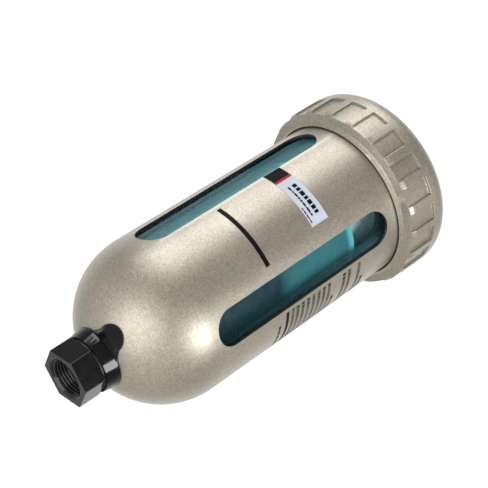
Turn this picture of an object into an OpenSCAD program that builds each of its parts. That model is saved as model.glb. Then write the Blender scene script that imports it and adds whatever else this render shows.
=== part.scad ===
// Float-type automatic drain for a compressed-air line.
// A threaded cap carries a clear bowl in a slotted metal guard; a float inside opens the drain.
// The axis is vertical and the inlet is on top. The origin is on the axis where the inlet's thread
// starts, behind its lead-in. Levels named *_z are heights above the cap's lower rim, and
// to_origin() moves them to the origin.

/* [Cap] */
// Outside diameter of the cap
cap_d = 84.2; // [84.2:0.1:86]
// Height of the cap without its inlet boss
cap_h = 26.85; // [26:0.05:28]
// Radius of the cap's rounded top edge
cap_round = 7.5; // [4:0.5:8]
// Number of grip pockets round the cap
pocket_count = 22; // [16:1:24]
// Angle that one grip pocket takes up
pocket_angle = 11.2; // [7:0.1:12]
// Depth of a grip pocket
pocket_depth = 1.1; // [0.5:0.1:1.5]
// Level of a grip pocket's closed end
pocket_top_z = 16.25; // [12:0.25:18]
// Height of the inlet boss above the cap
boss_h = 5.15; // [4:0.05:8]

/* [Ports] */
// Radius of the inlet thread's crests (G 1/2)
inlet_r = 9.315; // [9.315]
// Length of the inlet thread
inlet_len = 16; // [12:0.5:16]
// Radius of the drain thread's crests (G 3/8)
outlet_r = 7.475; // [7.475]
// Length of the drain thread
outlet_len = 10; // [8:0.5:10]
// Width across the flats of the drain hex
hex_af = 21.8; // [21.6:0.1:22]

/* [Guard and bowl] */
// Outside diameter of the guard
guard_d = 70.5; // [70.5]
// Thickness of the guard's wall
guard_wall = 1.25; // [1:0.05:1.3]
// Width of a sight slot
slot_w = 16; // [10:0.5:18]
// Level of a sight slot's upper end
slot_top_z = -5.75; // [-12:0.25:-5]
// Level of a sight slot's lower end
slot_low_z = -103.6; // [-103.6:0.1:-90]
// Outside diameter of the bowl
bowl_d = 65.8; // [65.8]
// Thickness of the bowl's wall
bowl_wall = 2.5; // [2:0.1:2.6]

/* [Mechanism] */
// Outside diameter of the float
float_d = 56; // [54:0.5:56]
// Level of the float's top at rest
float_top_z = -19.5; // [-20:0.5:-19.5]
// Level of the float's underside at rest
float_low_z = -100; // [-100:0.5:-94]
// How far the float rises
float_lift = 6; // [6]
// Coils of the return spring
spring_turns = 5; // [4:1:6]

/* [Hidden] */
$fn = 96;
eps = 0.01;
far = 100;

// Levels and radii that several parts share
cap_r = cap_d / 2;
mouth_z = cap_h + boss_h;
boss_r = 16;
lead_in = 1.5;
spigot_r = 14;
spigot_low_z = mouth_z - inlet_len - 2;
lip_r = 35.7;
lip_top_z = 1.8;
guard_r = guard_d / 2;
guard_in_r = guard_r - guard_wall;
dome_z = -103.5;
bowl_r = bowl_d / 2;
bowl_in_r = bowl_r - bowl_wall;
float_r = float_d / 2;
float_in_r = 22.5;

// Screw thread between the guard and the cap, drawn as plain cylinders
thread_r = 34.8;
thread_play = 0.08;
collar_top_z = 7;
flange_top_z = 9.6;
flange_r = 34.6;
flange_low_z = 7.1;
seal_bore_r = 32.4;
seal_floor_z = 19;
recess_r = 27;
recess_floor_z = 21.5;
bowl_top_z = 17.4;
bowl_seal_z = 13;
bowl_seal_r = 1.2;

// Strainer under the inlet
deflector_r = 22;
deflector_z = 3;
strainer_r = 20;
strainer_wall = 2.5;
strainer_low_z = -14;
plate_t = 2;
bolt_r = 1.6;
bolt_head_r = 3.5;

// Drain end
hex_low_z = -153.25;
hex_top_z = -143.2;
hex_turn = 26.45;
neck_r = 9;
bore_play = 0.06;
passage_r = 4.5;
seat_r = 6.2;
seat_h = 3;
port_ring_z = -131;
port_ring_r = 0.9;
port_top_z = -121.5;
bowl_boss_r = 11;
bowl_boss_low_z = -136.7;
bowl_floor_z = -128.5;
nut_h = 4.5;
knob_low_z = -142.4;
knob_rim_z = -137.6;
knob_front_r = 12.2;
knob_rim_r = 13.2;
guard_hole_r = 11.6;
tab_front_z = -137.3;
tab_r = 5.7;
tab_reach = 15.2;
bleed_z = -139.4;
bleed_hole_d = 1.6;
bleed_low_z = -141;
bleed_top_z = -137.95;
sleeve_r = 10.65;
bleed_ring_r = 0.35;
bleed_ring_in = 0.5;
dome_clear = 0.45;

// Valve housing
housing_r = 19;
housing_low_z = -123.6;
chamber_r = 12;
chamber_top_z = -108;
cylinder_low_z = -104;
cylinder_r = 15;
cylinder_play = 0.1;
intake_z = -119;
intake_h = 8;
cover_z = -84;
cover_top_z = -78;
cover_ring_z = cover_z - 1.5;
cover_ring_r = 0.8;
screw_x = 17;
screw_r = 1;
tower_r = 11.5;
tower_top_z = -60;
rod_foot_z = tower_top_z - 12;
stem_r = 2.5;
piston_top_z = -97;
piston_ring_z = [-101.4, -99.2];
spring_foot_z = -98;
seal_z = [-121.4, -119.2];
seal_r = 7;

// Lever: it turns about a pin beside the rod and its fork rides in the float hub's groove
pivot_x = 13;
pivot_z = -50;
lever_swing = asin(float_lift / 2 / pivot_x);
pin_r = 1.5;
nozzle_x = 8;
nozzle_r = 1.5;
nozzle_foot_z = tower_top_z - 6;
nozzle_top_z = tower_top_z + 1;
plunger_r = 1.2;
plunger_low_z = tower_top_z + 2;
lever_t = 2;
fork_y = 6.5;
fork_w = 2.6;
lever_w = 16.4;
groove_z = pivot_z - float_lift / 2;
rod_r = 2.5;
clip_z = [-23.4, -22.4];
clip_r = 1.9;
hub_r = 4.5;
web_z = -44;
float_skin = 1.3;

module to_origin() {
    translate([0, 0, lead_in - mouth_z]) children();
}

// A plain tube between two levels
module tube(r_out, r_in, low_z, top_z) {
    translate([0, 0, low_z]) difference() {
        cylinder(r = r_out, h = top_z - low_z);
        translate([0, 0, -1]) cylinder(r = r_in, h = top_z - low_z + 2);
    }
}

module disc(r, low_z, top_z) {
    translate([0, 0, low_z]) cylinder(r = r, h = top_z - low_z);
}

// Half outline of a cylinder that ends in a half ball below
module bullet_2d(r, top_z) {
    translate([0, dome_z]) {
        intersection() {
            circle(r = r);
            translate([0, -r]) square([r, r]);
        }
        square([r, top_z - dome_z]);
    }
}

module o_ring(ring_r, cord_r, z) {
    translate([0, 0, z]) rotate_extrude() translate([ring_r, 0]) circle(r = cord_r, $fn = 48);
}

/* ---- Cap and strainer ---- */

// Outer half outline of the cap: rounded shoulder, rim bevels and the taper inside the pockets
module cap_outline_2d() {
    difference() {
        union() {
            square([cap_r - cap_round, cap_h]);
            square([cap_r, cap_h - cap_round]);
            translate([cap_r - cap_round, cap_h - cap_round]) circle(r = cap_round);
        }
        polygon([[lip_r, -1], [lip_r, 0], [lip_r + 1.6, 1.6], [41.3, 2.3], [cap_r, 4.2],
                 [cap_r + 1, 4.2], [cap_r + 1, -1]]);
    }
}

module cap() {
    color("tan") to_origin() difference() {
        union() {
            rotate_extrude() difference() {
                cap_outline_2d();
                translate([0, -1]) square([lip_r, lip_top_z + 1]);
                square([thread_r, flange_top_z + 0.6]);
                square([seal_bore_r, seal_floor_z]);
                square([recess_r, recess_floor_z]);
            }
            disc(boss_r, cap_h - 1, mouth_z);
            disc(spigot_r, spigot_low_z, cap_h - 1);
        }
        disc(inlet_r, 0, mouth_z + 1);
        translate([0, 0, mouth_z - lead_in])
            cylinder(r1 = inlet_r, r2 = inlet_r + lead_in + eps, h = lead_in + eps);
        for (i = [0 : pocket_count - 1])
            rotate([0, 0, -88.46 + i * 360 / pocket_count - pocket_angle / 2])
                rotate_extrude(angle = pocket_angle)
                    translate([cap_r - pocket_depth, -1]) square([3, pocket_top_z + 1]);
    }
}

// Baffle round the inlet spigot that throws the water outwards and carries the strainer
module deflector() {
    color("black") to_origin() difference() {
        union() {
            tube(spigot_r + 3, spigot_r + 0.05, deflector_z - 1, 20);
            tube(deflector_r, spigot_r + 0.05, deflector_z, deflector_z + 2);
            disc(bolt_head_r, deflector_z - 1, deflector_z + 3);
            for (a = [30, 150, 270])
                rotate([0, 0, a]) translate([2, -1.25, deflector_z - 0.6]) cube([spigot_r - 1, 2.5, 2.2]);
        }
        disc(bolt_r + 0.05, 0, 8);
    }
}

module strainer() {
    color("darkseagreen") to_origin() 
        tube(strainer_r, strainer_r - strainer_wall, strainer_low_z, deflector_z - 0.05);
}

module strainer_plate() {
    color("dimgray") to_origin() 
        tube(strainer_r, bolt_r + 0.45, strainer_low_z - plate_t, strainer_low_z);
}

module strainer_bolt() {
    color("silver") to_origin() difference() {
        union() {
            disc(bolt_r, strainer_low_z - plate_t - 0.5, deflector_z + 2.5);
            disc(bolt_head_r, strainer_low_z - plate_t - 2, strainer_low_z - plate_t);
        }
        translate([-4, -0.4, strainer_low_z - plate_t - 3]) cube([8, 0.8, 1.8]);
    }
}

/* ---- Bowl, guard and their seals ---- */

module bowl() {
    color("teal", 0.5) to_origin() difference() {
        rotate_extrude() difference() {
            union() {
                bullet_2d(bowl_r, collar_top_z);
                translate([0, flange_low_z]) square([flange_r, flange_top_z - flange_low_z]);
                translate([0, collar_top_z - 1]) square([seal_bore_r - 0.3, bowl_top_z - collar_top_z + 1]);
                translate([0, bowl_boss_low_z]) square([bowl_boss_r, 8]);
            }
            difference() {
                bullet_2d(bowl_in_r, 6);
                translate([0, -2 * far]) square([13, 2 * far + bowl_floor_z]);
            }
            square([float_r + 0.6, 30]);
            translate([29.95, bowl_seal_z - 1.4]) square([5, 2.8]);
        }
        disc(neck_r + bore_play, -140, -120);
    }
}

module bowl_o_ring() {
    color("black") to_origin() o_ring(seal_bore_r - 0.03 - bowl_seal_r, bowl_seal_r, bowl_seal_z);
}

module guard() {
    color("tan") to_origin() difference() {
        rotate_extrude() difference() {
            union() {
                bullet_2d(guard_r, 1);
                translate([0, 0.5]) square([thread_r - thread_play, collar_top_z - 0.5]);
            }
            bullet_2d(guard_in_r, -3);
            translate([0, -4]) square([33.3, 20]);
            translate([0, -far * 2]) square([guard_hole_r, far]);
        }
        for (a = [45 : 90 : 315]) rotate([0, 0, a]) sight_slot();
    }
}

// Cutter for one sight slot with round ends, through the wall on the +X side
module sight_slot() {
    low = slot_low_z + slot_w / 2;
    top = slot_top_z - slot_w / 2;
    translate([20, -slot_w / 2, low]) cube([30, slot_w, top - low]);
    for (z = [low, top]) translate([20, 0, z]) rotate([0, 90, 0]) cylinder(d = slot_w, h = 30);
}

module label() {
    color("white") to_origin() rotate([0, 0, -121.4]) translate([0, 0, -43.1])
        rotate_extrude(angle = 49.7) translate([guard_r, 0]) square([0.12, 9.35]);
}

/* ---- Drain port and knob ---- */

module drain_port() {
    color("#181818") to_origin() difference() {
        union() {
            translate([0, 0, hex_low_z]) rotate([0, 0, hex_turn])
                cylinder(d = hex_af / cos(30), h = hex_top_z - hex_low_z, $fn = 6);
            disc(neck_r, hex_top_z - 1, port_top_z);
        }
        disc(outlet_r, hex_low_z - 1, hex_low_z + outlet_len + lead_in);
        disc(passage_r, hex_low_z, port_top_z + 1);
        disc(seat_r + 0.05, port_top_z - seat_h, port_top_z + 1);
        translate([0, 0, hex_low_z - eps])
            cylinder(r1 = outlet_r + lead_in + eps, r2 = outlet_r, h = lead_in + eps);
        translate([-15, 0, bleed_z]) rotate([0, 90, 0]) cylinder(d = bleed_hole_d, h = 30);
        o_ring(neck_r, port_ring_r, port_ring_z);
    }
}

module port_o_ring() {
    color("black") to_origin() difference() {
        o_ring(neck_r, port_ring_r, port_ring_z);
        tube(15, neck_r + bore_play, port_ring_z - 2, port_ring_z + 2);
    }
}

module port_nut() {
    color("silver") to_origin() difference() {
        translate([0, 0, bowl_floor_z]) cylinder(d = 21.6 / cos(30), h = nut_h, $fn = 6);
        disc(neck_r, bowl_floor_z - 1, bowl_floor_z + nut_h + 1);
    }
}

module valve_seat() {
    color("gold") to_origin() tube(seat_r, passage_r, port_top_z - seat_h, port_top_z);
}

// Turning collar with two thumb tabs that lie close to the guard's dome
module drain_knob() {
    color("#181818") to_origin() difference() {
        union() {
            rotate_extrude() polygon([[8, knob_rim_z + 0.4], [11, knob_rim_z + 0.4],
                                      [knob_rim_r, knob_rim_z + 0.95], [knob_rim_r, knob_rim_z],
                                      [knob_front_r, knob_low_z], [8, knob_low_z]]);
            for (a = [90, 270]) rotate([0, 0, a]) knob_tab();
        }
        disc(neck_r + bore_play, -150, -130);
        disc(sleeve_r + 0.1, knob_low_z - 1, bleed_top_z + 0.15);
    }
}

// One thumb tab, pointing along +X, with its back cut to the dome
module knob_tab() {
    difference() {
        translate([0, 0, tab_front_z]) linear_extrude(8) {
            translate([tab_reach, 0]) circle(r = tab_r);
            polygon([[11, -7.4], [14.6, -tab_r], [tab_reach, -tab_r], [tab_reach, tab_r],
                     [14.6, tab_r], [11, 7.4]]);
        }
        translate([0, 0, dome_z]) sphere(r = guard_r + dome_clear);
    }
}

module knob_washer() {
    color("dimgray") to_origin() tube(knob_front_r - 1, neck_r, hex_top_z, knob_low_z - 0.1);
}

module bleed_sleeve() {
    color("darkgray") to_origin() difference() {
        tube(sleeve_r, neck_r + bore_play, bleed_low_z, bleed_top_z);
        for (z = [bleed_low_z + bleed_ring_in, bleed_top_z - bleed_ring_in])
            o_ring(neck_r, bleed_ring_r, z);
    }
}

module bleed_o_rings() {
    color("black") to_origin() difference() {
        for (z = [bleed_low_z + bleed_ring_in, bleed_top_z - bleed_ring_in])
            o_ring(neck_r, bleed_ring_r, z);
        disc(neck_r + bore_play, bleed_low_z - 1, bleed_top_z + 1);
    }
}

/* ---- Main valve ---- */

module valve_housing() {
    color("#202024") to_origin() difference() {
        rotate_extrude() difference() {
            translate([0, housing_low_z]) square([housing_r, cover_z - housing_low_z]);
            translate([0, housing_low_z - 1]) square([neck_r, 10]);
            translate([0, port_top_z]) square([chamber_r, chamber_top_z - port_top_z]);
            translate([0, chamber_top_z - 1]) square([stem_r + bore_play, 10]);
            translate([0, cylinder_low_z]) square([cylinder_r, cover_z - cylinder_low_z + 1]);
        }
        for (a = [0 : 60 : 300])
            rotate([0, 0, a]) translate([9, -3, intake_z]) cube([20, 6, intake_h]);
        for (a = [0, 120, 240])
            rotate([0, 0, a]) disc_at(screw_x, screw_r, cover_z - 8, cover_z + 1);
    }
}

// Small upright cylinder at a distance along +X
module disc_at(x, r, low_z, top_z) {
    translate([x, 0, low_z]) cylinder(r = r, h = top_z - low_z);
}

module intake_screen() {
    color("silver") to_origin() 
        tube(housing_r + 0.9, housing_r, intake_z - 2, intake_z + intake_h + 2);
}

module housing_cover() {
    ear_y = lever_w / 2 + 0.3;
    color("#202024") to_origin() difference() {
        union() {
            disc(housing_r, cover_z, cover_top_z);
            tube(cylinder_r - cylinder_play, 12, cover_z - 3, cover_z + 1);
            disc(tower_r, cover_top_z - 1, tower_top_z);
            for (side = [-1, 1])
                translate([pivot_x - 2.5, side * (ear_y + 1) - 1, cover_top_z - 1])
                    cube([5, 2, pivot_z + 3 - cover_top_z + 1]);
        }
        disc(rod_r, rod_foot_z, tower_top_z + 1);
        disc_at(nozzle_x, nozzle_r, nozzle_foot_z, tower_top_z + 1);
        disc_at(nozzle_x, 0.8, cover_z - 5, tower_top_z);
        translate([pivot_x, 20, pivot_z]) rotate([90, 0, 0]) cylinder(r = pin_r, h = 40);
        for (a = [0, 120, 240]) 
            rotate([0, 0, a]) disc_at(screw_x, screw_r, cover_z - 1, cover_top_z + 1);
        translate([0, 0, cover_ring_z]) rotate_extrude() translate([cylinder_r, 0])
            circle(r = cover_ring_r);
    }
}

module cover_o_ring() {
    color("black") to_origin() intersection() {
        o_ring(cylinder_r, cover_ring_r, cover_ring_z);
        disc(cylinder_r, cover_z - 4, cover_z);
    }
}

module cover_screws() {
    color("silver") to_origin() for (a = [0, 120, 240]) rotate([0, 0, a]) difference() {
        union() {
            disc_at(screw_x, screw_r, cover_z - 7, cover_top_z + 1);
            disc_at(screw_x, 1.8, cover_top_z, cover_top_z + 1.6);
        }
        translate([screw_x - 3, -0.25, cover_top_z + 1]) cube([6, 0.5, 1]);
    }
}

module piston() {
    color("gold") to_origin() difference() {
        disc(cylinder_r - cylinder_play, cylinder_low_z + 0.6, piston_top_z);
        disc(stem_r, cylinder_low_z - 1, piston_top_z + 7);
        tube(20, 13.4, piston_ring_z[0], piston_ring_z[1]);
        tube(11, 8, spring_foot_z, piston_top_z + 1);
    }
}

module piston_ring() {
    color("black") to_origin() 
        tube(cylinder_r - 0.04, 13.4, piston_ring_z[0], piston_ring_z[1]);
}

module valve_stem() {
    color("silver") to_origin() difference() {
        union() {
            disc(stem_r, seal_z[1] + 0.2, piston_top_z + 1);
            disc(seal_r, seal_z[1], seal_z[1] + 2);
        }
        disc(1, seal_z[0], seal_z[1] + 7.2);
    }
}

module main_seal() {
    color("black") to_origin() tube(seal_r, 1, seal_z[0], seal_z[1]);
}

module seal_screw() {
    color("silver") to_origin() {
        disc(1, seal_z[0], seal_z[1] + 6.2);
        disc(2.4, seal_z[0] - 1, seal_z[0]);
    }
}

module return_spring() {
    spring_r = 9.5;
    wire_r = 0.7;
    low = spring_foot_z + wire_r + 0.1;
    top = cover_z - wire_r - 0.1;
    steps = spring_turns * 16;
    color("gray") to_origin() coil(spring_r, wire_r, low, top, spring_turns, steps, 8);
}

// Round wire swept along a helix: one ring of points at each step
module coil(coil_r, wire_r, low_z, top_z, turns, steps, sides) {
    points = [for (i = [0 : steps], j = [0 : sides - 1])
        let (a = 360 * turns * i / steps, b = 360 * j / sides, r = coil_r + wire_r * cos(b))
        [r * cos(a), r * sin(a), low_z + (top_z - low_z) * i / steps + wire_r * sin(b)]];
    walls = [for (i = [0 : steps - 1], j = [0 : sides - 1])
        let (k = i * sides, n = (j + 1) % sides)
        [k + j, k + sides + j, k + sides + n, k + n]];
    first = [for (j = [0 : sides - 1]) j];
    last = [for (j = [sides - 1 : -1 : 0]) steps * sides + j];
    polyhedron(points, concat(walls, [first, last]));
}

/* ---- Pilot valve, lever and float ---- */

module guide_rod() {
    color("silver") to_origin() difference() {
        disc(rod_r, rod_foot_z, clip_z[1] + 1.4);
        tube(5, clip_r, clip_z[0], clip_z[1]);
    }
}

module rod_clip() {
    color("gray") to_origin() tube(4.2, clip_r, clip_z[0], clip_z[1]);
}

module pilot_nozzle() {
    color("gold") to_origin() difference() {
        union() {
            disc_at(nozzle_x, nozzle_r, nozzle_foot_z, tower_top_z);
            disc_at(nozzle_x, nozzle_r + 0.5, tower_top_z, nozzle_top_z);
        }
        disc_at(nozzle_x, 0.5, nozzle_foot_z - 1, nozzle_top_z + 1);
    }
}

module lever_pin() {
    pin_len = 21.6;
    color("silver") to_origin() translate([pivot_x, pin_len / 2, pivot_z]) rotate([90, 0, 0])
        cylinder(r = pin_r, h = pin_len);
}

// Fork that reaches past the rod on both sides; drawn level, then swung down to its rest angle
module lever() {
    color("gold") to_origin() translate([pivot_x, 0, pivot_z]) rotate([0, -lever_swing, 0])
        difference() {
            union() {
                rotate([90, 0, 0]) translate([0, 0, -lever_w / 2]) cylinder(r = 2.6, h = lever_w);
                translate([-8, -lever_w / 2, -lever_t / 2]) cube([8, lever_w, lever_t]);
                for (side = [-1, 1]) {
                    translate([-pivot_x, side * fork_y - fork_w / 2, -lever_t / 2])
                        cube([pivot_x, fork_w, lever_t]);
                    translate([-pivot_x, side * fork_y, 0]) rotate([90, 0, 0])
                        translate([0, 0, -fork_w / 2]) cylinder(r = 1.2, h = fork_w);
                }
            }
            rotate([90, 0, 0]) translate([0, 0, -9]) cylinder(r = pin_r + bore_play, h = 18);
        }
}

module pilot_plunger() {
    top = pivot_z - (pivot_x - nozzle_x) * tan(lever_swing) - lever_t / 2 / cos(lever_swing);
    color("silver") to_origin() disc_at(nozzle_x, plunger_r, plunger_low_z, top - 0.5);
}

module pilot_seal() {
    color("black") to_origin() disc_at(nozzle_x, plunger_r, nozzle_top_z + 0.05, plunger_low_z);
}

// Sleeve that stands on the hub's own flanges, closed on top and open below
module float_shell() {
    color("darkturquoise") to_origin() difference() {
        tube(float_r, float_in_r, float_low_z, float_top_z);
        tube(float_r - float_skin, float_in_r + float_skin, float_low_z - 1, float_top_z - 1.6);
    }
}

module float_base() {
    color("darkturquoise") to_origin()
        tube(float_r - float_skin, float_in_r + float_skin, float_low_z, float_low_z + 2);
}

module float_spider() {
    color("teal") to_origin() difference() {
        union() {
            disc(hub_r, tower_top_z + 0.2, web_z + 4.5);
            for (z = [groove_z - 2.8, groove_z + 1.3])
                translate([-1.2, -lever_w / 2, z]) cube([2.4, lever_w, 1.5]);
            for (a = [0 : 120 : 240])
                rotate([0, 0, a + 60]) translate([3, -1.5, web_z]) cube([float_in_r - 3.8, 3, 3]);
            tube(float_in_r, float_in_r - 1.5, web_z - 1, web_z + 4);
        }
        disc(rod_r + bore_play, groove_z - 10, web_z + 10);
    }
}

cap();
deflector();
strainer();
strainer_plate();
strainer_bolt();
bowl();
bowl_o_ring();
guard();
label();
drain_port();
port_o_ring();
port_nut();
valve_seat();
drain_knob();
knob_washer();
bleed_sleeve();
bleed_o_rings();
valve_housing();
intake_screen();
housing_cover();
cover_o_ring();
cover_screws();
piston();
piston_ring();
valve_stem();
main_seal();
seal_screw();
return_spring();
guide_rod();
rod_clip();
pilot_nozzle();
lever_pin();
lever();
pilot_plunger();
pilot_seal();
float_shell();
float_base();
float_spider();
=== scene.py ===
"""Looks of the float-type automatic drain: detailed pieces, materials, studio light and camera.

Sizes are in millimetres and become metres through MM; a comment says where one is already in
metres. A level is a height above the cap's lower rim, as in part.scad, and at(level) gives its
height in the shared frame. Angles round the object are in degrees from +X.
"""
import math
import random

import bmesh
import bpy
from mathutils import Matrix, Vector


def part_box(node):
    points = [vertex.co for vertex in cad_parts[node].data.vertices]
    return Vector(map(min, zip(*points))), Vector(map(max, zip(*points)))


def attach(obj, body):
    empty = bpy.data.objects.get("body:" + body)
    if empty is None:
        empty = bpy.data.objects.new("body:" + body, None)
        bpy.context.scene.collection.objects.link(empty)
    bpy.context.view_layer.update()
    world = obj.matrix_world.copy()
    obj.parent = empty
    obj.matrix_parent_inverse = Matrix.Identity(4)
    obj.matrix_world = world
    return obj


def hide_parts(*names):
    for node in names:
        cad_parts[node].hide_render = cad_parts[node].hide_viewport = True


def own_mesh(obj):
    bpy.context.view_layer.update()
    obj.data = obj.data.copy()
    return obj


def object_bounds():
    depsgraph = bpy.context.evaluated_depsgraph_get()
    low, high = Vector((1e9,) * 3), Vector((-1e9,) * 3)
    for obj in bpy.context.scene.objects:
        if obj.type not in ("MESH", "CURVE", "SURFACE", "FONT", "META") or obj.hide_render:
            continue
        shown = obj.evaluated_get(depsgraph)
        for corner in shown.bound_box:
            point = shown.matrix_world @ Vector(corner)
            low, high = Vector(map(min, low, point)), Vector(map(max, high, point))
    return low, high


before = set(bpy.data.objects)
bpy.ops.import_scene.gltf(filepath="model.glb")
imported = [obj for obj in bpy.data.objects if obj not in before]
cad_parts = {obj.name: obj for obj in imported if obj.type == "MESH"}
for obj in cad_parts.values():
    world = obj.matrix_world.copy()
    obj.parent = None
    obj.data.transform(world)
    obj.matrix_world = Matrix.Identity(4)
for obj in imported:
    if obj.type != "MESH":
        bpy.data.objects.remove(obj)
cad_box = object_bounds()

MM = 0.001
RIM_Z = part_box("cap")[0].z  # these three in metres
GUARD_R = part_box("guard")[1].x
HEX_LOW_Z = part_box("drain_port")[0].z


def at(level):
    """Height in the frame, in metres, of a level above the cap's lower rim."""
    return RIM_Z + level * MM


# ---------------------------------------------------------------- materials

NOISE_LOW, NOISE_HIGH = 0.3, 0.7  # most of a noise texture's values lie between these
FLOAT_RIM_HIGHLIGHT = (4, 1.5)  # below the float's top edge: where its painted highlight along the rim starts and is in full
FLOAT_SHADE = (-64, -56)  # levels: the painted shadow over the float's lower half ends between these


class Surface:
    """A Principled material with its textures, all placed in object space."""

    def __init__(self, name, colour, roughness, metallic=0.0, **sockets):
        self.material = bpy.data.materials.new(name)
        self.material.use_nodes = True
        self.tree = self.material.node_tree
        self.shader = self.tree.nodes["Principled BSDF"]
        self.coords = self.add("ShaderNodeTexCoord").outputs["Object"]
        self.colour = colour
        self.base = None  # what the base colour is linked to, from the first layer on
        self.set("Base Color", (*colour, 1))
        self.set("Roughness", roughness)
        self.set("Metallic", metallic)
        for socket, value in sockets.items():
            self.set(socket.replace("_", " "), value)

    def set(self, socket, value):
        self.shader.inputs[socket].default_value = value

    def add(self, kind, **values):
        node = self.tree.nodes.new(kind)
        for key, value in values.items():
            setattr(node, key, value)
        return node

    def link(self, output, target):
        self.tree.links.new(output, target)

    def noise(self, size_mm, detail, rough=0.5, stretch=(1, 1, 1)):
        """Noise whose blobs are about size_mm across."""
        place = self.add("ShaderNodeMapping")
        place.inputs["Scale"].default_value = stretch
        self.link(self.coords, place.inputs["Vector"])
        node = self.add("ShaderNodeTexNoise")
        node.inputs["Scale"].default_value = 1 / (size_mm * MM)
        node.inputs["Detail"].default_value = detail
        node.inputs["Roughness"].default_value = rough
        self.link(place.outputs["Vector"], node.inputs["Vector"])
        return node.outputs["Fac"]

    def speckle(self, size_mm):
        """Random value in each small cell, for metal flakes and sintered grains."""
        node = self.add("ShaderNodeTexVoronoi")
        node.inputs["Scale"].default_value = 1 / (size_mm * MM)
        self.link(self.coords, node.inputs["Vector"])
        apart = self.add("ShaderNodeSeparateColor")
        self.link(node.outputs["Color"], apart.inputs["Color"])
        return apart.outputs[0]

    def remap(self, value, low, high, to_low, to_high):
        """The value's range low to high stretched to the range to_low to to_high."""
        node = self.add("ShaderNodeMapRange")
        node.inputs["From Min"].default_value = low
        node.inputs["From Max"].default_value = high
        node.inputs["To Min"].default_value = to_low
        node.inputs["To Max"].default_value = to_high
        self.link(value, node.inputs["Value"])
        return node.outputs["Result"]

    def layer(self, share, under, over):
        """Base colour goes from under to over as share goes from 0 to 1."""
        node = self.add("ShaderNodeMix", data_type="RGBA")
        self.link(share, node.inputs[0])
        for socket, value in ((6, under), (7, over)):  # the two inputs used by a colour mix
            if isinstance(value, tuple):
                node.inputs[socket].default_value = (*value, 1)
            else:
                self.link(value, node.inputs[socket])
        self.base = node.outputs[2]
        self.link(self.base, self.shader.inputs["Base Color"])

    def tint(self, value, spread, low=NOISE_LOW, high=NOISE_HIGH):
        """Base colour varies by +-spread with the value."""
        dark = tuple(c * (1 - spread) for c in self.colour)
        light = tuple(min(1, c * (1 + spread)) for c in self.colour)
        self.layer(self.remap(value, low, high, 0, 1), dark, light)

    def vary_roughness(self, value, spread):
        """Roughness varies by +-spread with a noise value."""
        socket = self.shader.inputs["Roughness"]
        low, high = socket.default_value - spread, socket.default_value + spread
        self.link(self.remap(value, NOISE_LOW, NOISE_HIGH, low, high), socket)

    def bump(self, value, depth_mm, strength):
        node = self.add("ShaderNodeBump")
        node.inputs["Distance"].default_value = depth_mm * MM
        node.inputs["Strength"].default_value = strength
        self.link(value, node.inputs["Height"])
        self.link(node.outputs["Normal"], self.shader.inputs["Normal"])

    def worn_and_highlit_edges(self, colour, amount, low, high):
        """Lighter colour where the surface is convex: rubbed edges, with a painted highlight along
        them.
        """
        point = self.add("ShaderNodeNewGeometry").outputs["Pointiness"]
        self.layer(self.remap(point, low, high, 0, amount), self.base, colour)


def champagne_paint():
    s = Surface("champagne_paint", (0.330, 0.288, 0.219), 0.46, 0.7, Specular_IOR_Level=0.5,
                Coat_Weight=0.8, Coat_Roughness=0.36)
    s.tint(s.speckle(0.42), 0.24, 0.0, 1.0)
    s.vary_roughness(s.noise(9, 3), 0.03)
    s.bump(s.noise(0.4, 1), 0.012, 0.5)
    # painted highlight, with rubbed paint, on the pockets', slots' and other convex edges
    s.worn_and_highlit_edges((0.68, 0.63, 0.54), 0.4, 0.53, 0.6)
    return s.material


# Painted shade: near-black metal on inner faces, bores and the gap under the cap, where shade
# falls.
def painted_shade_casting():
    s = Surface("painted_shade_casting", (0.05, 0.048, 0.044), 0.55, 0.5)
    s.tint(s.noise(1.5, 3), 0.25)
    s.vary_roughness(s.noise(3, 3), 0.08)
    s.bump(s.noise(0.8, 2), 0.008, 0.5)
    return s.material


def clear_teal():
    """Clear tinted wall: what is behind shows through, less so at glancing angles, where the wall's
    own tint and gloss take over, with a painted bright band for the light a thick clear tube has
    inside its limb."""
    s = Surface("clear_teal", (0.13, 0.32, 0.345), 0.04, Specular_IOR_Level=0.5)
    s.tint(s.noise(14, 2), 0.1)
    s.vary_roughness(s.noise(6, 3), 0.02)
    s.bump(s.noise(4, 2), 0.004, 0.4)
    through = s.add("ShaderNodeBsdfTransparent")
    through.inputs["Color"].default_value = (0.90, 0.98, 0.99, 1)
    share = s.add("ShaderNodeValToRGB")
    # (facing, share of the wall's own look), from face on to the limb; the peak near 0.49 is the
    # painted bright band
    stops = ((0.0, 0.02), (0.38, 0.03), (0.44, 0.06), (0.49, 0.55), (0.54, 0.4), (0.62, 0.2),
             (1.0, 0.9))
    for place, level in stops[1:-1]:
        share.color_ramp.elements.new(place)
    for stop, (place, level) in zip(share.color_ramp.elements, stops):
        stop.position = place
        stop.color = (level, level, level, 1)
    s.link(s.add("ShaderNodeLayerWeight").outputs["Facing"], share.inputs["Fac"])
    both = s.add("ShaderNodeMixShader")
    s.link(share.outputs["Color"], both.inputs[0])
    s.link(through.outputs["BSDF"], both.inputs[1])
    s.link(s.shader.outputs["BSDF"], both.inputs[2])
    s.link(both.outputs["Shader"], s.tree.nodes["Material Output"].inputs["Surface"])
    return s.material


def gloss_black():
    s = Surface("gloss_black", (0.003, 0.003, 0.0035), 0.12, Specular_IOR_Level=0.42)
    s.tint(s.noise(4, 3), 0.3)
    s.vary_roughness(s.noise(2.5, 4), 0.04)
    s.bump(s.noise(1.4, 3), 0.004, 0.5)
    return s.material


def rubbed_highlit_black():
    """The same plastic, lighter on its edges: a painted highlight, with polish by hands and
    wrenches.
    """
    s = Surface("rubbed_highlit_black", (0.14, 0.14, 0.142), 0.2, 0.5)
    s.tint(s.noise(1.5, 3), 0.4)
    s.vary_roughness(s.noise(1, 3), 0.06)
    s.bump(s.noise(0.8, 3), 0.004, 0.5)
    return s.material


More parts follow.
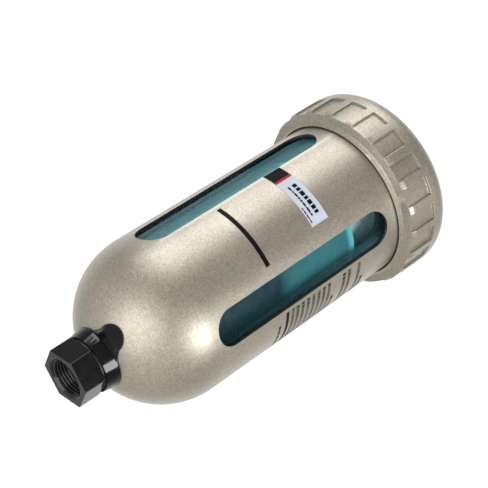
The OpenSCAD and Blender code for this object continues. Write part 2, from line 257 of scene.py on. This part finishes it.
def housing_black():
    s = Surface("housing_black", (0.018, 0.02, 0.022), 0.42)
    s.tint(s.noise(5, 3), 0.25)
    s.vary_roughness(s.noise(2, 3), 0.08)
    s.bump(s.noise(0.5, 3), 0.01, 0.6)
    return s.material


def float_teal():
    """Teal plastic with a painted highlight along its top rim and a painted shadow over its lower
    half.
    """
    s = Surface("float_teal", (0.042, 0.145, 0.155), 0.3, Specular_IOR_Level=0.4)
    s.tint(s.noise(12, 3), 0.12)
    apart = s.add("ShaderNodeSeparateXYZ")
    s.link(s.coords, apart.inputs[0])
    height = apart.outputs["Z"]
    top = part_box("float_shell")[1].z
    highlight_low, highlight_high = (top - below * MM for below in FLOAT_RIM_HIGHLIGHT)
    # painted highlight along the float's top rim
    s.layer(s.remap(height, highlight_low, highlight_high, 0, 1), s.base, (0.16, 0.50, 0.50))
    shadow_level, plain_level = FLOAT_SHADE
    # painted shadow over the float's lower half
    s.layer(s.remap(height, at(shadow_level), at(plain_level), 0, 1), (0.003, 0.014, 0.019), s.base)
    s.vary_roughness(s.noise(4, 3), 0.07)
    s.bump(s.noise(0.8, 3), 0.008, 0.5)
    return s.material


def steel():
    s = Surface("steel", (0.55, 0.55, 0.54), 0.28, 1.0)
    s.tint(s.noise(3, 3), 0.1)
    s.vary_roughness(s.noise(1.2, 3, stretch=(1, 1, 8)), 0.09)
    s.bump(s.noise(0.4, 2, stretch=(1, 1, 6)), 0.003, 0.5)
    return s.material


def brass():
    s = Surface("brass", (0.62, 0.43, 0.17), 0.26, 1.0)
    s.tint(s.noise(4, 3), 0.14)
    s.vary_roughness(s.noise(1.5, 3, stretch=(1, 1, 8)), 0.08)
    s.bump(s.noise(0.4, 2, stretch=(1, 1, 6)), 0.003, 0.5)
    return s.material


def seal_rubber():
    s = Surface("seal_rubber", (0.014, 0.014, 0.015), 0.55)
    s.tint(s.noise(2, 3), 0.3)
    s.vary_roughness(s.noise(1.5, 3), 0.08)
    s.bump(s.noise(0.3, 2), 0.006, 0.6)
    return s.material


def sintered():
    s = Surface("sintered", (0.88, 1.0, 0.96), 0.85, Specular_IOR_Level=0.25)
    s.tint(s.speckle(0.6), 0.45, 0.0, 0.8)
    s.vary_roughness(s.noise(2, 3), 0.08)
    s.bump(s.noise(0.6, 2, 0.6), 0.1, 0.7)
    return s.material


def film(name, colour, roughness, specular=0.05):
    """Label film or printing ink."""
    s = Surface(name, colour, roughness, Specular_IOR_Level=specular)
    s.tint(s.noise(3, 3), 0.04)
    s.vary_roughness(s.noise(2, 3), 0.05)
    s.bump(s.noise(0.6, 2), 0.003, 0.4)
    return s.material


MAKERS = (champagne_paint, painted_shade_casting, clear_teal, gloss_black, rubbed_highlit_black, housing_black,
          float_teal, steel, brass, seal_rubber, sintered)
MATERIALS = {make.__name__: make() for make in MAKERS}
MATERIALS["label_film"] = film("label_film", (0.46, 0.475, 0.53), 0.35, 0.2)
MATERIALS["print_black"] = film("print_black", (0.006, 0.006, 0.006), 0.5)
MATERIALS["print_grey"] = film("print_grey", (0.014, 0.013, 0.012), 0.5)
MATERIALS["print_red"] = film("print_red", (0.42, 0.02, 0.02), 0.4)

NODE_SLOT = {
    "champagne_paint": "cap guard",
    "clear_teal": "bowl",
    "gloss_black": "drain_port drain_knob",
    "housing_black": "deflector strainer_plate valve_housing housing_cover knob_washer",
    "float_teal": "float_shell float_base float_spider",
    "steel": "strainer_bolt port_nut intake_screen cover_screws guide_rod rod_clip lever_pin"
             " valve_stem seal_screw return_spring bleed_sleeve pilot_plunger",
    "brass": "pilot_nozzle lever piston valve_seat",
    "seal_rubber": "bowl_o_ring port_o_ring cover_o_ring pilot_seal piston_ring main_seal"
                   " bleed_o_rings",
    "sintered": "strainer",
    "label_film": "label",
}
for slot_name, members in NODE_SLOT.items():
    for member in members.split():
        node_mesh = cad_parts[member].data
        node_mesh.materials.clear()
        node_mesh.materials.append(MATERIALS[slot_name])


# ---------------------------------------------------------------- mesh helpers

CAD_WELD, MESH_WELD = 1e-6, 1e-7  # metres; corners nearer than this are joined
SLIVER = 1e-8  # metres; shorter edges are dissolved
BEVEL_SEGMENTS = 3


def piece(name, mesh, slot, body, material=None):
    """A new object made of mesh, riding on a body and named with its material slot."""
    mesh.materials.clear()
    mesh.materials.append(MATERIALS[material or slot])
    obj = bpy.data.objects.new(name, mesh)
    bpy.context.scene.collection.objects.link(obj)
    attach(obj, body)
    return obj


def smooth(mesh, sharp_deg=35):
    for face in mesh.polygons:
        face.use_smooth = True
    mesh.set_sharp_from_angle(angle=math.radians(sharp_deg))


def bake_modifiers(obj):
    """Replaces the object's mesh by the one its modifiers give."""
    depsgraph = bpy.context.evaluated_depsgraph_get()
    mesh = bpy.data.meshes.new_from_object(obj.evaluated_get(depsgraph))
    obj.modifiers.clear()
    obj.data = mesh


def work_object(mesh):
    """A passing object for modifiers, which isn't a piece and is removed after use."""
    obj = bpy.data.objects.new("work", mesh)
    bpy.context.scene.collection.objects.link(obj)
    return obj


def add_bevel(obj, width_mm):
    bevel = obj.modifiers.new("bevel", "BEVEL")
    bevel.width = width_mm * MM
    bevel.segments = BEVEL_SEGMENTS
    bevel.harden_normals = True
    return bevel


def soften(obj, width_mm):
    """Rounds the sharp edges of a piece and keeps its flat faces flat in the shading."""
    bevel = add_bevel(obj, width_mm)
    bevel.limit_method = "ANGLE"
    bevel.angle_limit = math.radians(30)
    bevel.miter_outer = "MITER_ARC"
    bake_modifiers(obj)


def bevel_picked(mesh, width_mm, picked):
    """Rounds the sharp edges whose middle picked() accepts; new faces get the second material."""
    bm = bmesh.new()
    bm.from_mesh(mesh)
    weight = bm.edges.layers.float.new("bevel_weight_edge")
    for edge in bm.edges:
        sharp = len(edge.link_faces) == 2 and edge.calc_face_angle(0) > math.radians(25)
        if sharp and picked((edge.verts[0].co + edge.verts[1].co) / 2):
            edge[weight] = 1
    bm.to_mesh(mesh)
    bm.free()
    obj = work_object(mesh)
    bevel = add_bevel(obj, width_mm)
    bevel.limit_method = "WEIGHT"
    bevel.material = 1
    bake_modifiers(obj)
    result = obj.data
    bpy.data.objects.remove(obj)
    return result


def flatten_shading(obj):
    """Turns the shading normals to those of the largest faces, so flat faces mirror as flat."""
    weighted = obj.modifiers.new("weighted", "WEIGHTED_NORMAL")
    weighted.keep_sharp = True
    weighted.weight = 100
    bake_modifiers(obj)


def clean_copy(node):
    """The mesh of a CAD node with its split corners joined and its flat faces merged."""
    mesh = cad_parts[node].data.copy()
    bm = bmesh.new()
    bm.from_mesh(mesh)
    bmesh.ops.remove_doubles(bm, verts=bm.verts, dist=CAD_WELD)
    bmesh.ops.dissolve_limit(bm, angle_limit=math.radians(0.5), verts=bm.verts, edges=bm.edges)
    bmesh.ops.recalc_face_normals(bm, faces=bm.faces)
    bm.to_mesh(mesh)
    bm.free()
    return mesh


def grid_bm(rows, closed):
    """Quads between rows of points. Closed joins each row's ends, and the last row to the first."""
    bm = bmesh.new()
    verts = [[bm.verts.new(p) for p in row] for row in rows]
    columns = len(rows[0])
    pairs = zip(verts, verts[1:] + verts[:1]) if closed else zip(verts, verts[1:])
    for low, high in pairs:
        for i in range(columns if closed else columns - 1):
            j = (i + 1) % columns
            bm.faces.new((low[i], low[j], high[j], high[i]))
    return bm


def to_mesh(bm, name, fill_holes=False):
    bmesh.ops.remove_doubles(bm, verts=bm.verts, dist=MESH_WELD)
    bmesh.ops.dissolve_degenerate(bm, edges=bm.edges, dist=SLIVER)
    if fill_holes:
        bmesh.ops.holes_fill(bm, edges=[e for e in bm.edges if e.is_boundary], sides=0)
    bmesh.ops.recalc_face_normals(bm, faces=bm.faces)
    mesh = bpy.data.meshes.new(name)
    bm.to_mesh(mesh)
    bm.free()
    return mesh


def polar(radius, angle, z):
    return (radius * math.cos(angle), radius * math.sin(angle), z)


def cut(mesh, cutter_mesh):
    """The mesh with the cutter's shape taken away."""
    body, cutter = work_object(mesh), work_object(cutter_mesh)
    boolean = body.modifiers.new("cut", "BOOLEAN")
    boolean.object = cutter
    boolean.operation = "DIFFERENCE"
    boolean.solver = "EXACT"
    bake_modifiers(body)
    result = body.data
    for obj in (body, cutter):
        bpy.data.objects.remove(obj)
    return result


# ---------------------------------------------------------------- pipe threads

G_HALF = (9.315, 10.478, 1.814)  # radius of the bore, radius at the thread's roots, pitch
G_THREE_EIGHTHS = (7.475, 8.33, 1.337)
TAP_COLUMNS, TAP_STEPS = 96, 10  # points round the tap, and along one pitch
TAP_CORE = 0.4  # the tap's two ends are this much inside the bore
TAP_FLAT, TAP_SLACK = 0.15, 0.02  # share of the thread's depth missing at its crests; play


def tap(bore_r, root_r, pitch, low_z, high_z):
    """Solid shaped like a tap: subtracting it from a plain bore leaves a pipe thread."""
    turns = math.ceil((high_z - low_z) / pitch)
    rows = []
    for j in range(-TAP_STEPS, (turns + 1) * TAP_STEPS + 1):
        row = []
        for i in range(TAP_COLUMNS + 1):
            turn = i / TAP_COLUMNS
            z = low_z + (j / TAP_STEPS + turn) * pitch
            wave = 0.5 - 0.5 * math.cos(2 * math.pi * ((j / TAP_STEPS) % 1.0))
            radius = bore_r + (root_r - bore_r) * (TAP_FLAT + (1 - TAP_FLAT) * wave) - TAP_SLACK
            if z <= low_z or z >= high_z:
                z = min(max(z, low_z), high_z)
                radius = bore_r - TAP_CORE
            row.append(polar(radius * MM, 2 * math.pi * turn, z * MM))
        rows.append(row)
    return to_mesh(grid_bm(rows, closed=False), "tap", fill_holes=True)


# ---------------------------------------------------------------- painted metal

CAP_R, CAP_TOP, SHOULDER, LIP_R = 42.1, 26.85, 7.5, 36.0
BOSS_R, MOUTH = 16, 32.0  # the inlet's boss, and the level of its mouth
POCKETS, POCKET_DEG, POCKET_TOP, POCKET_DEPTH, FIRST_POCKET = 22, 11.2, 16.25, 1.1, -88.46
POCKET_WALL_DEG, POCKET_WALL = 0.26, 0.24  # run of the drafted side walls and of the top wall
CORNER_SEGMENTS, CORNER_SHARE = 4, 0.48  # a rounded corner takes at most this share of a side
DOME_LEVEL, GUARD_INNER_R = -103.5, 34.9


def ease(t):
    t = min(max(t, 0.0), 1.0)
    return t * t * (3 - 2 * t)


def rounded(points):
    """Outline (r, z, corner radius) with its corners rounded, as a list of (r, z)."""
    out = []
    for k, (r, z, corner) in enumerate(points):
        here = Vector((r, z))
        if corner == 0:
            out.append(here)
            continue
        before = Vector(points[k - 1][:2]) - here
        after = Vector(points[(k + 1) % len(points)][:2]) - here
        start = here + before.normalized() * min(corner, before.length * CORNER_SHARE)
        end = here + after.normalized() * min(corner, after.length * CORNER_SHARE)
        for i in range(CORNER_SEGMENTS + 1):
            t = i / CORNER_SEGMENTS
            out.append(start * (1 - t) ** 2 + here * 2 * t * (1 - t) + end * t * t)
    return out


def pocket_share(angle_deg):
    """1 inside a grip pocket, 0 on a rib, with a narrow slope between."""
    pitch = 360 / POCKETS
    off = abs((angle_deg - FIRST_POCKET + pitch / 2) % pitch - pitch / 2)
    return ease((POCKET_DEG / 2 + POCKET_WALL_DEG / 2 - off) / POCKET_WALL_DEG)


def cap_outline():
    """The cap's section as (radius, level, corner radius): down the outside, then up the inside."""
    bore_r, flat_r = G_HALF[0], CAP_R - SHOULDER
    outline = [(bore_r, MOUTH - 1.5, 0.15), (10.8, MOUTH, 0.25), (BOSS_R, MOUTH, 0.9),
               (BOSS_R, CAP_TOP, 1.2), (flat_r, CAP_TOP, 0)]
    for degrees in range(10, 91, 10):
        a = math.radians(degrees)
        level = CAP_TOP - SHOULDER + SHOULDER * math.cos(a)
        outline.append((flat_r + SHOULDER * math.sin(a), level, 0))
    # rows down the rim, close together where the pockets' top wall is
    for level in (17.6, 16.9, 16.55, 16.42, 16.34, 16.28, 16.22, 16.16, 16.08, 15.9, 15.4, 12.5,
                  9.5, 6.8, 5.2):
        outline.append((CAP_R, level, 0))
    return outline + [
        (CAP_R, 4.2, 0.45), (41.3, 2.3, 0.45), (37.3, 1.6, 0.5), (LIP_R, 0, 0.2), (LIP_R, 1.8, 0),
        (34.8, 1.8, 0), (34.8, 10.2, 0), (32.4, 10.2, 0.3), (32.4, 19, 0), (27, 19, 0.3),
        (27, 21.5, 0.8), (14, 21.5, 0.8), (14, 14, 0.4), (bore_r, 14, 0.3)]


def cap_mesh():
    """The cap with drafted grip pockets, rounded edges and a threaded inlet."""
    half = POCKET_DEG / 2
    near_wall = (-0.5, -0.2, -0.1, -0.03, 0.03, 0.1, 0.2, 0.5)
    steps = [side * half + e for side in (-1, 1) for e in near_wall]
    steps += [-3.6, -1.8, 0, 1.8, 3.6, 7.0, 8.18, 9.36]
    angles = [FIRST_POCKET + k * 360 / POCKETS + a for k in range(POCKETS) for a in sorted(steps)]
    shares = [pocket_share(a) for a in angles]
    floor_r = CAP_R - POCKET_DEPTH
    rows = []
    for r, z in rounded(cap_outline()):
        depth = ease((POCKET_TOP + POCKET_WALL / 2 - z) / POCKET_WALL) if r > floor_r else 0
        inside = min(r, floor_r) if depth else r
        rows.append([polar((r + (inside - r) * share * depth) * MM, math.radians(angle), at(z))
                     for angle, share in zip(angles, shares)])
    mesh = to_mesh(grid_bm(rows, closed=True), "cap")
    rim = RIM_Z / MM
    return cut(mesh, tap(*G_HALF, low_z=rim + 13.5, high_z=rim + MOUTH - 0.4))


def paint_outside(mesh, is_shaded):
    """Gives the faces that pass the given test of radius and level the near-black painted shade
    instead of the paint.
    """
    mesh.materials.clear()
    mesh.materials.append(MATERIALS["champagne_paint"])
    mesh.materials.append(MATERIALS["painted_shade_casting"])
    for face in mesh.polygons:
        radius = face.center.xy.length / MM
        face.material_index = int(is_shaded(radius, (face.center.z - RIM_Z) / MM))


def shade_in_cap(radius, level):
    """Faces given painted shade: round the space for the bowl, and in the inlet's bore and thread.
    """
    return radius < LIP_R + 0.05 and level < 25 or radius < 10.6 and level < 31.4


def shade_in_guard(radius, level):
    """Faces given painted shade: the tube's and the dome's inner faces with the slots' walls, and
    the collar that screws into the cap, from just below the cap's rim up.
    """
    if level > DOME_LEVEL:
        return radius < GUARD_INNER_R or level > -0.1
    return math.hypot(radius, level - DOME_LEVEL) < GUARD_INNER_R


cap_shape = cap_mesh()
smooth(cap_shape)
cap = piece("cap_shell", cap_shape, "champagne_paint", "cap")
paint_outside(cap_shape, shade_in_cap)
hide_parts("cap")

guard_shape = clean_copy("guard")
smooth(guard_shape)
guard = piece("guard_shell", guard_shape, "champagne_paint", "guard")
soften(guard, width_mm=0.3)
paint_outside(guard.data, shade_in_guard)
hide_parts("guard")


# ---------------------------------------------------------------- drain end

HEX_HEIGHT, HEX_EDGES_R = 11, 8.8  # edges below and outside these belong to the hex
TAB_FRONT_Z, TAB_FRONT_PLAY = at(-137.3), 0.02
TAB_R, TAB_MIDDLE_R, TAB_DRAFT = 13.4, 12.4, 0.78  # the thumb tabs' front faces shrink to TAB_DRAFT


def on_hex(co):
    return co.xy.length > HEX_EDGES_R * MM and co.z < HEX_LOW_Z + HEX_HEIGHT * MM


port_shape = clean_copy("drain_port")
smooth(port_shape)
port_shape.materials.clear()
for coat in ("gloss_black", "rubbed_highlit_black"):  # the bevel needs its material's slot to be there
    port_shape.materials.append(MATERIALS[coat])
# the hex's bevelled edges get the lighter plastic: a painted highlight along them
port_shape = bevel_picked(port_shape, width_mm=0.3, picked=on_hex)
hex_low = HEX_LOW_Z / MM
port_shape = cut(port_shape, tap(*G_THREE_EIGHTHS, low_z=hex_low - 0.5, high_z=hex_low + 10.4))
smooth(port_shape)
port = piece("hex_port", port_shape, "gloss_black", "bowl")
port.data.materials.append(MATERIALS["rubbed_highlit_black"])
flatten_shading(port)
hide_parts("drain_port")

knob_shape = clean_copy("drain_knob")
for vertex in knob_shape.vertices:
    in_front = abs(vertex.co.z - TAB_FRONT_Z) < TAB_FRONT_PLAY * MM
    if in_front and vertex.co.xy.length > TAB_R * MM:
        side = 1 if vertex.co.y > 0 else -1
        middle = Vector((0, side * TAB_MIDDLE_R * MM, vertex.co.z))
        vertex.co = middle + (vertex.co - middle) * TAB_DRAFT
smooth(knob_shape)
knob = piece("knob_collar", knob_shape, "gloss_black", "knob")
soften(knob, width_mm=0.35)
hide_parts("drain_knob")

# The spring rides on the bowl.
spring_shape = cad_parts["return_spring"].data.copy()
smooth(spring_shape, sharp_deg=60)
spring = piece("spring_coil", spring_shape, "steel", "bowl")
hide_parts("return_spring")
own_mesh(spring)


# ---------------------------------------------------------------- printing

PLATE, PLATE_STEP_DEG = 0.02, 1.5  # thickness, and the longest flat stretch of a curved plate
LABEL_R = GUARD_R + 0.12 * MM  # metres; the label's outer face
LABEL_LEVELS = (-43.05, -33.8)
PANEL_HALF = 28.5  # half the width of the panel's long rows, in degrees


def plates(name, spans, slot, material, radius):
    """Thin curved plates on the guard; a span is (first angle, last angle, low and high level)."""
    bm = bmesh.new()
    for first, last, low, high in spans:
        count = max(2, math.ceil(abs(last - first) / PLATE_STEP_DEG) + 1)
        angles = [math.radians(first + (last - first) * i / (count - 1)) for i in range(count)]
        outer = radius + PLATE * MM
        loops = [[bm.verts.new(polar(r, a, at(level))) for a in angles]
                 for r, level in ((radius, low), (outer, low), (outer, high), (radius, high))]
        for lower, upper in zip(loops, loops[1:] + loops[:1]):
            for i in range(count - 1):
                bm.faces.new((lower[i], lower[i + 1], upper[i + 1], upper[i]))
        for end in (0, -1):
            bm.faces.new([loop[end] for loop in loops])
    mesh = to_mesh(bm, name)
    smooth(mesh, sharp_deg=30)
    return piece(name, mesh, slot, "guard", material)


def word_row(rng, first, last, low, high, gap=0.9, shortest=1.5, longest=6.0):
    """A row of plain dashes of mixed lengths between two angles; gap and lengths are in degrees."""
    spans, angle = [], first
    while angle < last - shortest:
        end = min(angle + rng.uniform(shortest, longest), last)
        spans.append((angle, end, low, high))
        angle = end + gap
    return spans


rng = random.Random(7)
plates("label_block", [(-121.4, -111.4, *LABEL_LEVELS)], "label_film", "print_black", LABEL_R)
plates("label_stripe", [(-111.4, -109.4, *LABEL_LEVELS)], "label_film", "print_red", LABEL_R)
label_rows = (word_row(rng, -103.2, -77.5, -38.2, -36.1, 0.9, 2.0, 4.6)
              + word_row(rng, -103.2, -77.5, -40.5, -39.6, 0.6, 1.5, 5.0)
              + word_row(rng, -86, -73, -42.5, -41.9, 0.5, 1.2, 3.5))
plates("label_bars", label_rows, "label_film", "print_black", LABEL_R)

plates("level_line", [(-117.9, -66.5, -71.75, -69.6)], "gloss_black", "print_black", GUARD_R)
panel = word_row(rng, -13, 13, -22.2, -20.6, 0.9, 3, 6)
for top in (-23.6, -29.6, -32.8):
    panel += word_row(rng, -PANEL_HALF, PANEL_HALF, top - 1.8, top, 1.0, 1.0, 2.6)
panel += word_row(rng, -14, 14, -40.6, -39.2)
for middle in (-42.8, -45.9, -49, -52.1, -55.3, -58.4, -61.5, -64.3):
    panel += word_row(rng, -PANEL_HALF, PANEL_HALF, middle - 0.9, middle + 0.9, 1.0, 0.8, 2.2)
panel += [(-28.9, 28.9, -68.2, -66.6)]
panel += word_row(rng, -20.4, 20.4, -72.1, -70.9)
plates("panel_bars", panel, "gloss_black", "print_grey", GUARD_R)


# ---------------------------------------------------------------- camera

CAMERA_AT = Vector((106.23 * MM, -481.20 * MM, at(-368.97)))
LOOK = Vector((-0.19192, 0.81826, 0.54185)).normalized()  # from below the drain end, upwards
ROLL = math.radians(57.15)

camera = bpy.data.objects.new("camera", bpy.data.cameras.new("camera"))
bpy.context.scene.collection.objects.link(camera)
camera.data.lens = 103.25
camera.data.shift_x = -0.0024
camera.data.shift_y = -0.0033
camera.data.clip_start = 0.01
camera.matrix_world = (Matrix.Translation(CAMERA_AT)
                       @ LOOK.to_track_quat("-Z", "Y").to_matrix().to_4x4()
                       @ Matrix.Rotation(ROLL, 4, "Z"))
bpy.context.scene.camera = camera


# ---------------------------------------------------------------- light and floor, in metres

CENTRE = (cad_box[0] + cad_box[1]) / 2
LIGHT_COLOUR = (0.91, 0.95, 1.0)
FLOOR_HALF = 5
FLOOR_DROP = 0.55  # from the drain's end down to the floor, past the camera


def softbox(name, azimuth, elevation, size, power, distance=1.0):
    """Rectangular area light aimed at the object; azimuth is measured from +X."""
    data = bpy.data.lights.new(name, "AREA")
    data.shape = "RECTANGLE"
    data.size, data.size_y = size
    data.energy = power
    data.color = LIGHT_COLOUR
    a, e = math.radians(azimuth), math.radians(elevation)
    way = Vector((math.cos(a) * math.cos(e), math.sin(a) * math.cos(e), math.sin(e)))
    obj = bpy.data.objects.new(name, data)
    bpy.context.scene.collection.objects.link(obj)
    obj.matrix_world = (Matrix.Translation(CENTRE + way * distance)
                        @ way.to_track_quat("Z", "Y").to_matrix().to_4x4())
    obj.visible_camera = False


def studio_world():
    """White as seen by the camera. The object is lit by a sky that is white where LOOK points to,
    which is behind the object, and grey everywhere else."""
    world = bpy.data.worlds.new("studio")
    world.use_nodes = True
    nodes, links = world.node_tree.nodes, world.node_tree.links
    white = nodes.new("ShaderNodeBackground")
    white.inputs["Color"].default_value = (1, 1, 1, 1)
    white.inputs["Strength"].default_value = 1.1
    direction = nodes.new("ShaderNodeTexCoord")
    dot = nodes.new("ShaderNodeVectorMath")
    dot.operation = "DOT_PRODUCT"
    dot.inputs[1].default_value = LOOK
    half = nodes.new("ShaderNodeMapRange")
    half.inputs["From Min"].default_value = -1
    ramp = nodes.new("ShaderNodeValToRGB")
    grey_end, white_end = ramp.color_ramp.elements
    grey_end.position, grey_end.color = 0.6, (0.248, 0.243, 0.236, 1)
    white_end.position, white_end.color = 0.88, (1, 1, 1, 1)
    sky = nodes["Background"]
    ray = nodes.new("ShaderNodeLightPath")
    blend = nodes.new("ShaderNodeMixShader")
    links.new(direction.outputs["Generated"], dot.inputs[0])
    links.new(dot.outputs["Value"], half.inputs["Value"])
    links.new(half.outputs["Result"], ramp.inputs["Fac"])
    links.new(ramp.outputs["Color"], sky.inputs["Color"])
    links.new(ray.outputs["Is Camera Ray"], blend.inputs[0])
    links.new(sky.outputs["Background"], blend.inputs[1])
    links.new(white.outputs["Background"], blend.inputs[2])
    links.new(blend.outputs["Shader"], nodes["World Output"].inputs["Surface"])
    return world


softbox("key", -139, 24, size=(0.68, 0.8), power=8.0)
softbox("side", -30, 6, size=(0.5, 0.5), power=9.2)
softbox("drain_side", -88, -64, size=(0.42, 0.42), power=1.55, distance=0.5)
bpy.context.scene.world = studio_world()
bpy.context.scene.view_settings.view_transform = "Standard"

floor_bm = bmesh.new()
bmesh.ops.create_grid(floor_bm, x_segments=8, y_segments=8, size=FLOOR_HALF)
floor_mesh = bpy.data.meshes.new("floor")
floor_bm.to_mesh(floor_mesh)
floor_bm.free()
floor = bpy.data.objects.new("floor", floor_mesh)
floor.location.z = HEX_LOW_Z - FLOOR_DROP
bpy.context.scene.collection.objects.link(floor)
floor_look = Surface("floor_paint", (0.85, 0.85, 0.85), 0.6)
floor_look.tint(floor_look.noise(200, 2), 0.02)
floor_mesh.materials.append(floor_look.material)
